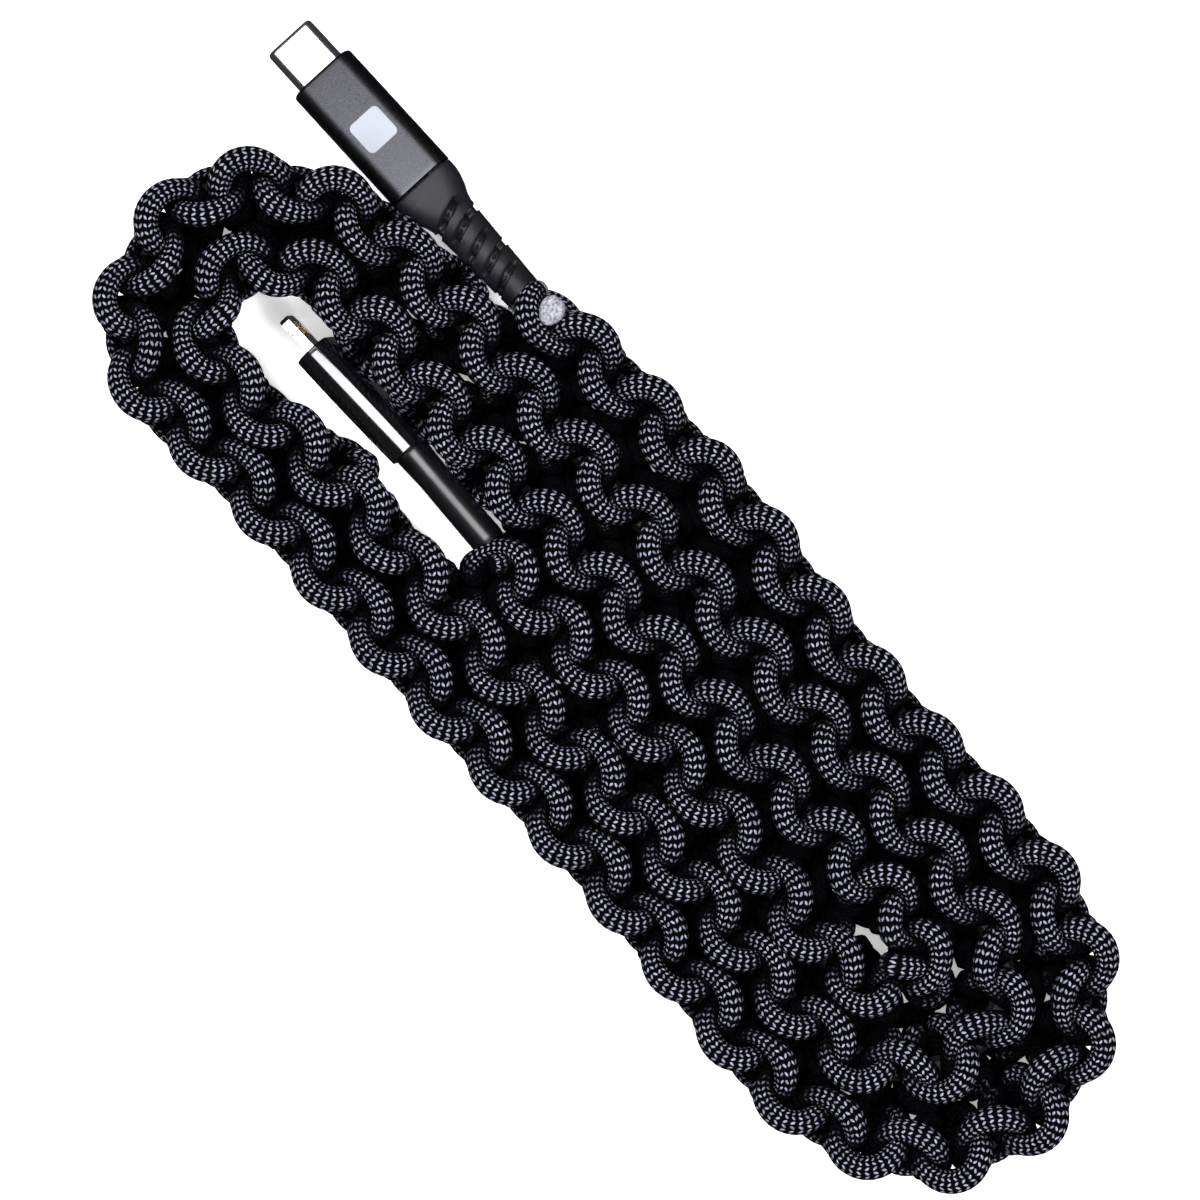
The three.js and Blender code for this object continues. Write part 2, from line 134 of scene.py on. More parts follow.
# The weave: where some of its side bumps stand along the middle line, in mm (bump number, station).
BUMPS = [(0, 12.85), (10, 150.1), (21, 300.6), (33, 466.6), (44, 619.6), (56, 785.3), (65, 905.6),
         (68, 940.2), (74, 1020.4)]
# the bumps' pitch beyond the last of these
LAST_BUMP = 11.3
# how far each loop swells past its own half knot, in half knots
LOOP_SWELL = 0.48
# how far the strand's middle stands from the cable's: over crests and under them where another run lies
# beside, then over crests, under crests and at side turns where none does
PRESSED_TOP = 3.4
FREE_TOP = 3.75
FREE_BOTTOM = 2.5
FREE_TURN = 2.7
# crests on the outside of a bend stand out this much further at most, by so much for each unit of curvature
BEND_SWELL = 0.7
BEND_GAIN = 14
# half the room that a run has on one side: with none beside it, at least and at most
FREE_HALF_WIDTH = 5.8
NARROWEST_HALF_WIDTH = 5.3
WIDEST_HALF_WIDTH = 8.4
# how far the hidden turns of neighbouring runs press past the half-way plane
RUN_PRESS = 1.25
# another run lies beside if it is within this reach sideways, this close along and so far on by station
BESIDE_FROM = 5
BESIDE_TO = 15.6
BESIDE_ALONG = 3
OTHER_RUN = 25
# and a rod lies beside if its skin is this far from the cable's middle
ROD_FROM = 2
ROD_TO = 8.6

# The cord itself.
CORD_RADIUS = 2.1
CORD_SLACK = 0.96
CORD_STEP = 0.88
CORD_SIDES = 20
# two places on one strand are neighbours if they are at least this far apart along it
OWN_STRETCH = 5.0
# painted crease shade: how far round a point other cords count, and how much of its view they fill where the
# painted shade starts and where it is full
CREASE_REACH = 9.0
CREASE_SHADE_FROM = 0.1
CREASE_SHADE_TO = 0.42
END_TAPER = (0.55, 0.85, 0.97)
# each strand by the side its crests stand on (1 is left of travel), with its ends in half knots
STRAND_ENDS = {1: (-0.9, 150.33), -1: (-0.9, 150.4)}
FLECK_ROWS = 16


# ---------------------------------------------------------------- camera

def make_camera():
    camera = bpy.data.objects.new("camera", bpy.data.cameras.new("camera"))
    bpy.context.collection.objects.link(camera)
    right = Vector((-0.669, -0.743, 0.0))
    up = Vector((0.743, -0.669, 0.0))
    back = right.cross(up)
    turn = Matrix((right, up, back)).transposed()
    camera.data.lens = 200
    camera.data.sensor_width = 36
    camera.data.clip_start = 0.01
    camera.data.clip_end = 20
    camera.matrix_world = Matrix.Translation(Vector((5.6, -2.5, 1057.5)) * MM) @ turn.to_4x4()
    bpy.context.scene.camera = camera


# ---------------------------------------------------------------- route

def spline(points, steps=24):
    """A centripetal Catmull-Rom curve through the points."""
    points = np.array(points, float)
    points = np.vstack([2 * points[0] - points[1], points, 2 * points[-1] - points[-2]])
    out = []
    for i in range(1, len(points) - 2):
        p0, p1, p2, p3 = points[i - 1:i + 3]
        t1 = np.linalg.norm(p1 - p0) ** 0.5
        t2 = t1 + np.linalg.norm(p2 - p1) ** 0.5
        t3 = t2 + np.linalg.norm(p3 - p2) ** 0.5
        for t in np.linspace(t1, t2, steps, endpoint=False):
            a1 = (t1 - t) / t1 * p0 + t / t1 * p1
            a2 = (t2 - t) / (t2 - t1) * p1 + (t - t1) / (t2 - t1) * p2
            a3 = (t3 - t) / (t3 - t2) * p2 + (t - t2) / (t3 - t2) * p3
            b1 = (t2 - t) / t2 * a1 + t / t2 * a2
            b2 = (t3 - t) / (t3 - t1) * a2 + (t - t1) / (t3 - t1) * a3
            out.append((t2 - t) / (t2 - t1) * b1 + (t - t1) / (t2 - t1) * b2)
    out.append(points[-2])
    return np.array(out)


def lengths(points):
    return np.concatenate([[0.0], np.cumsum(np.linalg.norm(np.diff(points, axis=0), axis=1))])


def smooth(values, width):
    kernel = np.hanning(width + 2)[1:-1]
    kernel /= kernel.sum()
    padded = np.pad(values, (width // 2, width // 2), mode="edge")
    return np.convolve(padded, kernel, "valid")


class Route:
    """The middle line by station: place, direction and curvature, and what lies beside it."""

    def __init__(self, points, step=0.25):
        line = spline(points)
        s = lengths(line)
        self.length = s[-1]
        self.s = np.arange(0, s[-1] + step, step)
        x = np.interp(self.s, s, line[:, 0])
        y = np.interp(self.s, s, line[:, 1])
        angle = np.unwrap(np.arctan2(np.gradient(y), np.gradient(x)))
        self.x, self.y = x, y
        self.angle = smooth(angle, 33)
        self.bend = np.gradient(self.angle, self.s)
        self.pressed, self.room = {}, {}
        for side in (1, -1):
            self.pressed[side], self.room[side] = self.neighbours(side)

    def neighbours(self, side):
        """Whether another run or a rod lies beside on one side (1 is left), 0 to 1, and the room up to it."""
        pick = slice(None, None, 8)
        s, x, y, angle = self.s[pick], self.x[pick], self.y[pick], self.angle[pick]
        pressed = np.zeros(len(s))
        half = np.full(len(s), FREE_HALF_WIDTH)
        for i in range(len(s)):
            ahead = (x - x[i]) * np.cos(angle[i]) + (y - y[i]) * np.sin(angle[i])
            aside = side * ((y - y[i]) * np.cos(angle[i]) - (x - x[i]) * np.sin(angle[i]))
            near = (np.abs(s - s[i]) > OTHER_RUN) & (np.abs(ahead) < BESIDE_ALONG)
            near &= (aside > BESIDE_FROM) & (aside < BESIDE_TO)
            if near.any():
                pressed[i] = 1
                half[i] = np.clip(aside[near].min() / 2 + RUN_PRESS, NARROWEST_HALF_WIDTH, WIDEST_HALF_WIDTH)
            for start, end, radius in RODS:
                for part in np.linspace(0, 1, 8):
                    dx = start[0] + part * (end[0] - start[0]) - x[i]
                    dy = start[1] + part * (end[1] - start[1]) - y[i]
                    ahead = dx * np.cos(angle[i]) + dy * np.sin(angle[i])
                    aside = side * (dy * np.cos(angle[i]) - dx * np.sin(angle[i]))
                    if abs(ahead) < BESIDE_ALONG and ROD_FROM < aside - radius < ROD_TO:
                        pressed[i] = 1
                        half[i] = np.clip(aside - radius + RUN_PRESS, NARROWEST_HALF_WIDTH, WIDEST_HALF_WIDTH)
        return (np.interp(self.s, s, smooth(values, 9)) for values in (pressed, half))

    def widths(self, s, side):
        """How far a strand's top crests, bottom crests and turns stand out to one side at stations."""
        pressed = np.interp(s, self.s, self.pressed[side])
        reach = np.interp(s, self.s, self.room[side]) - CORD_RADIUS
        outside = np.clip(-side * np.interp(s, self.s, self.bend) * BEND_GAIN, 0, 1)
        top = pressed * PRESSED_TOP + (1 - pressed) * (FREE_TOP + BEND_SWELL * outside)
        bottom = pressed * (reach - 0.1) + (1 - pressed) * FREE_BOTTOM
        turn = pressed * reach + (1 - pressed) * FREE_TURN
        return top, bottom, turn

    def at(self, s):
        """Place and direction at stations, carried on straight beyond the ends."""
        inside = np.clip(s, 0, self.length)
        angle = np.interp(inside, self.s, self.angle)
        over = s - inside
        x = np.interp(inside, self.s, self.x) + over * np.cos(angle)
        y = np.interp(inside, self.s, self.y) + over * np.sin(angle)
        return x, y, angle


# ---------------------------------------------------------------- weave

def knot_height(t, side, tall=5.4, steep=1.5, slant=1.4):
    """How high a strand's middle is above the cable's, in mm; t counts half knots."""
    rise = np.sin(np.pi * t)
    return side * (tall * np.sign(rise) * np.abs(rise) ** steep + slant * np.sin(2 * np.pi * t) * rise)


def strand(route, side, first, last):
    """A strand's middle line along the route, evenly spaced; side is the side that its crests stand on."""
    t = np.linspace(first, last, int((last - first) * 60))
    along = t - LOOP_SWELL * np.sin(2 * np.pi * t)
    up = knot_height(t, side)
    # a left bump stands on top in the middle of every other half knot: bump n where along = 2 n + 0.5
    bump = (along - 0.5) / 2
    numbers, stations = zip(*BUMPS)
    first_pitch = (stations[1] - stations[0]) / (numbers[1] - numbers[0])
    s = np.interp(bump, numbers, stations)
    s = np.where(bump < numbers[0], stations[0] + (bump - numbers[0]) * first_pitch, s)
    s = np.where(bump > numbers[-1], stations[-1] + (bump - numbers[-1]) * LAST_BUMP, s)
    x, y, angle = route.at(s)
    top, bottom, _ = route.widths(s, side)
    turn = route.widths(s, -side)[2]
    crest = np.where(up > 0, top, bottom)
    across = side * ((crest - turn) / 2 - (crest + turn) / 2 * np.cos(2 * np.pi * t))
    x = x - across * np.sin(angle)
    y = y + across * np.cos(angle)
    line = np.stack([x, y, CABLE_Z + up], 1)
    d = lengths(line)
    even = np.linspace(0, d[-1], int(d[-1] / CORD_STEP))
    return np.stack([np.interp(even, d, line[:, k]) for k in range(3)], 1)


def frames(line):
    """Two side directions at each point, turned along the line without twist."""
    tangent = np.gradient(line, axis=0)
    tangent /= np.linalg.norm(tangent, axis=1)[:, None]
    a = np.zeros_like(line)
    first = np.cross(tangent[0], (0, 0, 1))
    a[0] = first / np.linalg.norm(first)
    for i in range(1, len(line)):
        v = a[i - 1] - tangent[i] * np.dot(a[i - 1], tangent[i])
        a[i] = v / np.linalg.norm(v)
    return a, np.cross(tangent, a)


def cord_tree(lines):
    """All the strands' points to search, and which strand and point each one is."""
    tree = kdtree.KDTree(sum(len(line) for line in lines))
    owner = []
    for k, line in enumerate(lines):
        for i, p in enumerate(line):
            tree.insert(p, len(owner))
            owner.append((k, i))
    tree.balance()
    return tree, owner


def near_points(tree, owner, k, i, p, reach):
    """The points within reach of point i of strand k that belong to another stretch of cord."""
    skip = int(OWN_STRETCH / CORD_STEP)
    return [q for q, j, _ in tree.find_range(p, reach) if owner[j][0] != k or abs(owner[j][1] - i) > skip]


def squeezed_radii(lines, sides, turn):
    """Each ring's radius by direction, kept off the rods and the half-way planes to other cords."""
    tree, owner = cord_tree(lines)
    rods = [(np.array(start), np.array(end), radius) for start, end, radius in RODS]
    out = []
    for k, line in enumerate(lines):
        a, b = sides[k]
        radii = np.full((len(line), CORD_SIDES), CORD_RADIUS)
        for i, p in enumerate(line):
            ring = np.outer(np.cos(turn), a[i]) + np.outer(np.sin(turn), b[i])
            for start, end, radius in rods:
                part = np.clip(np.dot(p - start, end - start) / np.dot(end - start, end - start), 0, 1)
                away = start + part * (end - start) - p
                far = np.linalg.norm(away)
                if far < radius + 2 * CORD_RADIUS:
                    reach = ring @ (away / far)
                    limit = max(far - radius, 0.5) / np.maximum(reach, 1e-6)
                    radii[i] = np.where(reach > 1e-6, np.minimum(radii[i], limit), radii[i])
            near = near_points(tree, owner, k, i, p, 2 * CORD_RADIUS)
            if not near:
                continue
            d = np.array(near) - p
            dd = (d * d).sum(1)
            reach = ring @ d.T
            limit = np.where(reach > 1e-6, dd / (2 * np.maximum(reach, 1e-6)), 1e9)
            radii[i] = np.minimum(radii[i], limit.min(1))
        for _ in range(2):
            radii = (np.roll(radii, 1, 1) + 2 * radii + np.roll(radii, -1, 1)) / 4
            radii[1:-1] = (radii[:-2] + 2 * radii[1:-1] + radii[2:]) / 4
        out.append(radii * CORD_SLACK)
    return out


def cord_shade(lines, sides, turn):
    """Painted shade: how far each point of the skin lies in the creases between cords, 0 to 1, from how much
    of its view other cords fill.
    """
    tree, owner = cord_tree(lines)
    patch = 2 * CORD_RADIUS * CORD_STEP / np.pi
    out = []
    for k, line in enumerate(lines):
        a, b = sides[k]
        shade = np.zeros((len(line), CORD_SIDES))
        for i, p in enumerate(line):
            ring = np.outer(np.cos(turn), a[i]) + np.outer(np.sin(turn), b[i])
            near = near_points(tree, owner, k, i, p, CREASE_REACH)
            if not near:
                continue
            away = np.array(near)[None, :, :] - (p + ring * CORD_RADIUS)[:, None, :]
            far = np.maximum(np.linalg.norm(away, axis=2), CORD_RADIUS)
            facing = np.maximum((away * ring[:, None, :]).sum(2) / far, 0)
            shade[i] = (patch * facing / far ** 2).sum(1)
        out.append(np.clip((shade - CREASE_SHADE_FROM) / (CREASE_SHADE_TO - CREASE_SHADE_FROM), 0, 1))
    return out


def tube_mesh(name, line, a, b, radii, shade, turn, material, melted):
    """A closed tube with rounded-off, melted ends, mapped by turn and length, and by how deep it lies among
    other cords for the painted crease shade.
    """
    count = len(line)
    rows = []
    radii = radii.copy()
    for i, part in enumerate(END_TAPER):
        radii[i] *= part
        radii[-1 - i] *= part
    for i in range(count):
        ring = np.outer(np.cos(turn), a[i]) + np.outer(np.sin(turn), b[i])
        rows.append(line[i] + ring * radii[i][:, None])
    points = np.vstack(rows)
    sides = len(turn)
    faces = []
    for i in range(count - 1):
        for j in range(sides):
            k = (j + 1) % sides
            faces.append((i * sides + j, i * sides + k, (i + 1) * sides + k, (i + 1) * sides + j))
    faces.append(tuple(range(sides - 1, -1, -1)))
    faces.append(tuple((count - 1) * sides + j for j in range(sides)))
    mesh = bpy.data.meshes.new(name)
    mesh.from_pydata((points * MM).tolist(), [], faces)
    for look in (material, melted):
        mesh.materials.append(look)
    burnt = np.zeros(len(faces), dtype=int)
    burnt[:2 * sides] = 1
    burnt[-2] = 1
    mesh.polygons.foreach_set("material_index", burnt)
    d = lengths(line)
    uv = mesh.uv_layers.new(name="skin")
    values = np.zeros((len(mesh.loops), 2))
    n = 0
    for i in range(count - 1):
        for j in range(sides):
            values[n] = (j, d[i])
            values[n + 1] = (j + 1, d[i])
            values[n + 2] = (j + 1, d[i + 1])
            values[n + 3] = (j, d[i + 1])
            n += 4
    values[:, 0] /= sides
    uv.data.foreach_set("uv", values.ravel())
    # a second map carries the painted shade in the creases, corner by corner
    crease_shade = mesh.uv_layers.new(name="crease_shade")
    corners = np.zeros(len(mesh.loops), dtype=int)
    mesh.loops.foreach_get("vertex_index", corners)
    values[:, 0] = shade.ravel()[corners]
    values[:, 1] = 0
    crease_shade.data.foreach_set("uv", values.ravel())
    mesh.polygons.foreach_set("use_smooth", [True] * len(mesh.polygons))
    mesh.update()
    piece = bpy.data.objects.new(name, mesh)
    bpy.context.collection.objects.link(piece)
    return piece


# ---------------------------------------------------------------- materials

def new_material(name):
    material = bpy.data.materials.new(name)
    material.use_nodes = True
    nodes = material.node_tree.nodes
    return material, nodes, material.node_tree.links, nodes["Principled BSDF"]


def math_node(nodes, links, operation, a, b=None, c=None):
    node = nodes.new("ShaderNodeMath")
    node.operation = operation
    for socket, value in zip(node.inputs, (a, b, c)):
        if value is None:
            continue
        if isinstance(value, (int, float)):
            socket.default_value = value
        else:
            links.new(value, socket)
    return node.outputs[0]


def paracord_material():
    material, nodes, links, shader = new_material("paracord")

    def do(operation, a, b=None, c=None):
        return math_node(nodes, links, operation, a, b, c)

    uv = nodes.new("ShaderNodeUVMap")
    uv.uv_map = "skin"
    split = nodes.new("ShaderNodeSeparateXYZ")
    links.new(uv.outputs[0], split.inputs[0])
    around = do("MULTIPLY", split.outputs[0], FLECK_ROWS)
    # every fleck leans one way in even columns and the other way in odd ones
    odd = do("MODULO", do("FLOOR", around), 2.0)
    lean = do("MULTIPLY", do("SUBTRACT", odd, 0.5), 0.9)
    x = do("SUBTRACT", do("FRACT", around), 0.5)
    y = do("SUBTRACT", do("FRACT", do("SUBTRACT", split.outputs[1], do("MULTIPLY", x, lean))), 0.5)
    far = do("ADD", do("POWER", do("MULTIPLY", do("ABSOLUTE", x), 2.8), 2.3),
             do("POWER", do("MULTIPLY", do("ABSOLUTE", y), 4.2), 2.0))
    fleck = do("SUBTRACT", 1.0, far)
    ramp = nodes.new("ShaderNodeMapRange")
    ramp.interpolation_type = "SMOOTHSTEP"
    ramp.inputs["From Min"].default_value = -0.1
    ramp.inputs["From Max"].default_value = 0.6
    links.new(fleck, ramp.inputs["Value"])
    place = nodes.new("ShaderNodeTexCoord")
    noise = nodes.new("ShaderNodeTexNoise")
    noise.inputs["Scale"].default_value = 900.0
    noise.inputs["Detail"].default_value = 2.0
    links.new(place.outputs["Object"], noise.inputs["Vector"])
    wear = nodes.new("ShaderNodeMapRange")
    wear.inputs["From Min"].default_value = 0.3
    wear.inputs["From Max"].default_value = 0.6
    wear.inputs["To Min"].default_value = 0.35
    links.new(noise.outputs[0], wear.inputs["Value"])
    # painted shade: in the creases between cords the flecks are darkened until they hardly show, standing in
    # for the shade there
    crease_shade = nodes.new("ShaderNodeUVMap")
    crease_shade.uv_map = "crease_shade"
    depth = nodes.new("ShaderNodeSeparateXYZ")
    links.new(crease_shade.outputs[0], depth.inputs[0])
    unshaded = do("SUBTRACT", 1.0, depth.outputs[0])
    shown = do("MULTIPLY", do("MULTIPLY", ramp.outputs[0], wear.outputs[0]), unshaded)
    colour = nodes.new("ShaderNodeMixRGB")
    colour.inputs[1].default_value = (0.0012, 0.0012, 0.0018, 1)
    colour.inputs[2].default_value = (0.23, 0.23, 0.305, 1)
    links.new(shown, colour.inputs[0])
    links.new(colour.outputs[0], shader.inputs["Base Color"])
    shader.inputs["Roughness"].default_value = 0.75
    shader.inputs["Specular IOR Level"].default_value = 0.03
    bump = nodes.new("ShaderNodeBump")
    bump.inputs["Strength"].default_value = 0.6
    bump.inputs["Distance"].default_value = 0.0002
    links.new(fleck, bump.inputs["Height"])
    links.new(bump.outputs[0], shader.inputs["Normal"])
    return material


def grained(name, colour, metallic, roughness, grain, size, depth, spread=0.3, specular=0.5, coat=0.0):
    """A fine-grained surface: size and depth of the grain in mm; spread is how far its colour varies."""
    material, nodes, links, shader = new_material(name)
    place = nodes.new("ShaderNodeTexCoord")
    noise = nodes.new("ShaderNodeTexNoise")
    noise.inputs["Scale"].default_value = 1000.0 / size
    noise.inputs["Detail"].default_value = 3.0
    links.new(place.outputs["Object"], noise.inputs["Vector"])
    ramp = nodes.new("ShaderNodeMapRange")
    ramp.inputs["From Min"].default_value = 0.3
    ramp.inputs["From Max"].default_value = 0.7
    ramp.inputs["To Min"].default_value = 0.0
    ramp.inputs["To Max"].default_value = 1.0
    links.new(noise.outputs[0], ramp.inputs["Value"])
    tone = nodes.new("ShaderNodeMixRGB")
    tone.inputs[1].default_value = tuple(c * (1 - spread) for c in colour) + (1,)
    tone.inputs[2].default_value = tuple(c * (1 + spread) for c in colour) + (1,)
    links.new(ramp.outputs[0], tone.inputs[0])
    links.new(tone.outputs[0], shader.inputs["Base Color"])
    rough = nodes.new("ShaderNodeMapRange")
    rough.inputs["To Min"].default_value = roughness - grain
    rough.inputs["To Max"].default_value = roughness + grain
    links.new(noise.outputs[0], rough.inputs["Value"])
    links.new(rough.outputs[0], shader.inputs["Roughness"])
    bump = nodes.new("ShaderNodeBump")
    bump.inputs["Strength"].default_value = 0.5
    bump.inputs["Distance"].default_value = depth * MM
    links.new(noise.outputs[0], bump.inputs["Height"])
    links.new(bump.outputs[0], shader.inputs["Normal"])
    shader.inputs["Metallic"].default_value = metallic
    shader.inputs["Specular IOR Level"].default_value = specular
    shader.inputs["Coat Weight"].default_value = coat
    return material


def make_materials():
    """One material for each slot but the paracord."""
    return {
        "melted_cord": grained("melted_cord", (0.2, 0.2, 0.23), 0, 0.7, 0.1, 0.45, 0.3, 0.7, 0.2),
        "jacket": grained("jacket", (0.006, 0.006, 0.007), 0, 0.6, 0.1, 0.5, 0.03),
        "copper": grained("copper", (0.72, 0.4, 0.2), 1, 0.35, 0.1, 0.4, 0.02, 0.1),
        "relief": grained("relief", (0.006, 0.006, 0.008), 0, 0.45, 0.1, 0.2, 0.07, 0.4, 0.4),
        "satin_relief": grained("satin_relief", (0.003, 0.003, 0.004), 0, 0.3, 0.05, 0.3, 0.006, 0.15, 0.7),
        "anodised_black": grained("anodised_black", (0.07, 0.07, 0.08), 1, 0.36, 0.1, 0.16, 0.04, 0.45),
        "black_gloss": grained("black_gloss", (0.002, 0.002, 0.003), 0, 0.07, 0.02, 2.0, 0.0004, 0.2, 1.0,
                               0.4),
        "mark_white": grained("mark_white", (0.26, 0.275, 0.31), 0, 0.5, 0.08, 0.3, 0.01, 0.03, 0.2),
        "bright_steel": grained("bright_steel", (0.8, 0.82, 0.86), 1, 0.22, 0.04, 0.5, 0.004, 0.04),
        "black_plastic": grained("black_plastic", (0.01, 0.01, 0.012), 0, 0.5, 0.08, 0.3, 0.02),
        "gold": grained("gold", (0.85, 0.62, 0.25), 1, 0.25, 0.06, 0.4, 0.004, 0.06),
        "board": grained("board", (0.02, 0.12, 0.05), 0, 0.45, 0.08, 0.6, 0.01, 0.3),
        "mould": grained("mould", (0.75, 0.74, 0.68), 0, 0.55, 0.08, 0.5, 0.02, 0.05),
        "wire_red": grained("wire_red", (0.5, 0.02, 0.02), 0, 0.45, 0.06, 0.4, 0.01, 0.1),
        "wire_black": grained("wire_black", (0.01, 0.01, 0.01), 0, 0.45, 0.06, 0.4, 0.01, 0.1),
        "wire_green": grained("wire_green", (0.03, 0.28, 0.07), 0, 0.45, 0.06, 0.4, 0.01, 0.1),
        "wire_white": grained("wire_white", (0.75, 0.75, 0.72), 0, 0.45, 0.06, 0.4, 0.01, 0.05),
    }


def floor_material():
    material, _, _, shader = new_material("white_ground")
    shader.inputs["Base Color"].default_value = (0.9, 0.9, 0.9, 1)
    shader.inputs["Roughness"].default_value = 0.9
    shader.inputs["Specular IOR Level"].default_value = 0.0
    shader.inputs["Emission Color"].default_value = (1, 1, 1, 1)
    shader.inputs["Emission Strength"].default_value = 0.4
    return material


# ---------------------------------------------------------------- pieces

def make_weave(route, melted):
    lines = [strand(route, side, *ends) for side, ends in STRAND_ENDS.items()]
    sides = [frames(line) for line in lines]
    turn = np.arange(CORD_SIDES) * 2 * np.pi / CORD_SIDES
    radii = squeezed_radii(lines, sides, turn)
    shades = cord_shade(lines, sides, turn)
    material = paracord_material()
    for name, line, (a, b), r, shade in zip(("paracord_a", "paracord_b"), lines, sides, radii, shades):
        piece = tube_mesh(name, line, a, b, r, shade, turn, material, melted)
        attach(piece, "woven_cable")
        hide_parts("paracord_weave")


def plug_frame(place, yaw, pitch, roll=0.0):
    """From a plug's own frame, in mm, to the object's, in metres."""
    turn = Matrix.Rotation(math.radians(yaw), 4, "Z") @ Matrix.Rotation(math.radians(pitch), 4, "Y")
    turn = turn @ Matrix.Rotation(math.radians(roll), 4, "X")
    return Matrix.Translation(Vector((place[0], place[1], CABLE_Z)) * MM) @ turn @ Matrix.Scale(MM, 4)


def rounded_section(width, height, radius, per_corner=10):
    """A rounded rectangle's outline in y and z, anticlockwise, always with the same count of points."""
    radius = min(radius, width / 2 - 1e-4, height / 2 - 1e-4)
    points = []
    for corner in range(4):
        cy = (width / 2 - radius) * (1 if corner in (0, 3) else -1)
        cz = (height / 2 - radius) * (1 if corner in (0, 1) else -1)
        for i in range(per_corner + 1):
            turn = math.pi / 2 * (corner + i / per_corner)
            points.append((cy + radius * math.cos(turn), cz + radius * math.sin(turn)))
    return points


def lofted(name, stations, place, material, closed=False):
    """A closed skin through outlines at stations (x, outline); closed joins the last outline to the first."""
    count = len(stations[0][1])
    points = [place @ Vector((x, y, z)) for x, outline in stations for y, z in outline]
    faces = []
    rows = len(stations)
    for i in range(rows if closed else rows - 1):
        k = (i + 1) % rows
        for j in range(count):
            n = (j + 1) % count
            faces.append((i * count + j, i * count + n, k * count + n, k * count + j))
    if not closed:
        faces.append(tuple(range(count - 1, -1, -1)))
        faces.append(tuple((rows - 1) * count + j for j in range(count)))
    mesh = bpy.data.meshes.new(name)
    mesh.from_pydata(points, [], faces)
    mesh.materials.append(material)
    piece = bpy.data.objects.new(name, mesh)
    bpy.context.collection.objects.link(piece)
    work = bmesh.new()
    work.from_mesh(mesh)
    bmesh.ops.recalc_face_normals(work, faces=work.faces)
    work.to_mesh(mesh)
    work.free()
    mesh.polygons.foreach_set("use_smooth", [True] * len(mesh.polygons))
    mesh.set_sharp_from_angle(angle=math.radians(38))
    return piece


def housing_stations(rear, front, mouth, corner, rear_edge, front_edge):
    """Outside from rear to front, in through the mouth, and back along the hollow inside."""
    width, thick, wall = PLUG_WIDTH, PLUG_THICKNESS, PLUG_WALL
    stations = []
    for i in range(5):
        turn = math.pi / 2 * i / 4
        inset = rear_edge * (1 - math.sin(turn))
        stations.append((rear + rear_edge * (1 - math.cos(turn)), rounded_section(
            width - 2 * inset, thick - 2 * inset, corner - inset)))
    for i in range(1, 24):
        bow = CROWN * (1 - (i / 12 - 1) ** 2)
        stations.append((rear + (front - rear) * i / 24, rounded_section(width, thick + bow, corner)))
    for i in range(9):
        turn = math.pi / 2 * i / 8
        inset = front_edge * (1 - math.cos(turn))
        stations.append((front - front_edge * (1 - math.sin(turn)), rounded_section(
            width - 2 * inset, thick - 2 * inset, corner - inset)))
    wide, high, round_ = mouth
    stations.append((front, rounded_section(wide + 0.2, high + 0.2, round_ + 0.1)))
    stations.append((front - 0.1, rounded_section(wide, high, round_)))
    stations.append((front - 1.2, rounded_section(wide, high, round_)))
    inner = rounded_section(width - 2 * wall, thick - 2 * wall, corner - wall)
    stations.append((front - 1.2, inner))
    stations.append((rear, inner))
    return stations


def shell_stations(rear, tip):
    """The type-C shell, outside to the rounded tip and back along the inside."""
    wide, high, corner = 8.8, 2.62, 1.28
    stations = [(rear, rounded_section(wide, high, corner)), (tip - 0.7, rounded_section(wide, high, corner))]
    for i in range(1, 7):
        turn = math.pi / 2 * i / 6
        inset = 0.4 * (1 - math.cos(turn))
        stations.append((tip - 0.7 * (1 - math.sin(turn)), rounded_section(
            wide - 2 * inset, high - 1.3 * inset, corner - inset)))
    inner = rounded_section(wide - 0.86, high - 0.58, corner - 0.4)
    stations.append((tip - 0.05, inner))
    stations.append((rear, inner))
    return stations


def make_housing(name, node, place, rear, front, mouth, edges, material, body):
    corner = 2.6
    piece = lofted(name, housing_stations(rear, front, mouth, corner, *edges), place, material, closed=True)
    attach(piece, body)
    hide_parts(node)
    return piece


def relief_skin(name, sections, place, material, carve=None, step=0.12, sides=96):
    """A relief with a bore, through its sections; carve says how much of the skin's radius stays."""
    xs, wide, high, square = zip(*sections)
    count = int((xs[-1] - xs[0]) / step)
    stations = []
    for x in np.linspace(xs[0], xs[-1], count + 1):
        w, h, n = (float(np.interp(x, xs, values)) for values in (wide, high, square))
        outline = []
        for j in range(sides):
            turn = 2 * math.pi * j / sides
            c, k = math.cos(turn), math.sin(turn)
            y = w * math.copysign(abs(c) ** (2 / n), c)
            z = h * math.copysign(abs(k) ** (2 / n), k)
            if carve:
                keep = carve(x, y, z)
                y, z = y * keep, z * keep
            outline.append((y, z))
        stations.append((x, outline))
    bore = [(BORE * math.cos(2 * math.pi * j / sides), BORE * math.sin(2 * math.pi * j / sides))
            for j in range(sides)]
    stations.append((xs[-1], bore))
    stations.append((xs[0], bore))
    return lofted(name, stations, place, material, closed=True)


